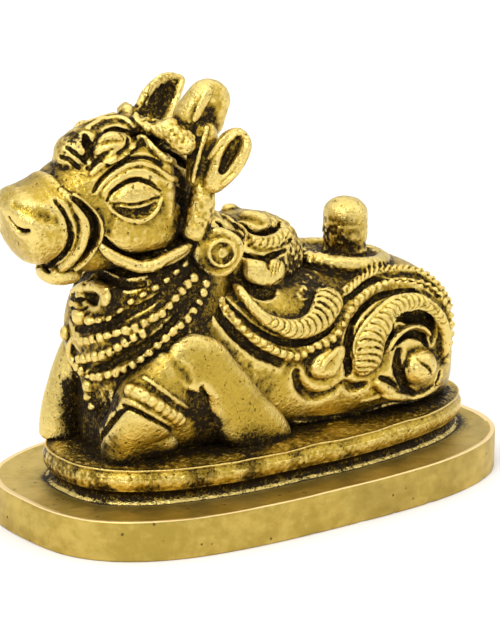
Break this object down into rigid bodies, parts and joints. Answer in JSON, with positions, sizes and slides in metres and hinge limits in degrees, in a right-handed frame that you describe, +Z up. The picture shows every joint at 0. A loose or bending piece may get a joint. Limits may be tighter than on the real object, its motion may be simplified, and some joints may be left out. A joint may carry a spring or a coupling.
{
  "type": "nandi bull figure",
  "caption": "Small cast brass reclining humped bull with garlands and carved saddle cloth, a round stone in a dish on its back, on a stepped oval plinth.",
  "frame": {"origin": "centre of the plinth's flat underside", "axes": "+Z up; the bull faces -X; its left side, with the raised foreleg, is -Y"},
  "size_m": [0.0778, 0.0424, 0.0612],
  "materials": {
    "aged_brass": "cast, rubbed bright on the high places, black-brown in the hollows"
  },
  "bodies": {
    "root": {"nandi_figure": "aged_brass"}
  },
  "joints": []
}
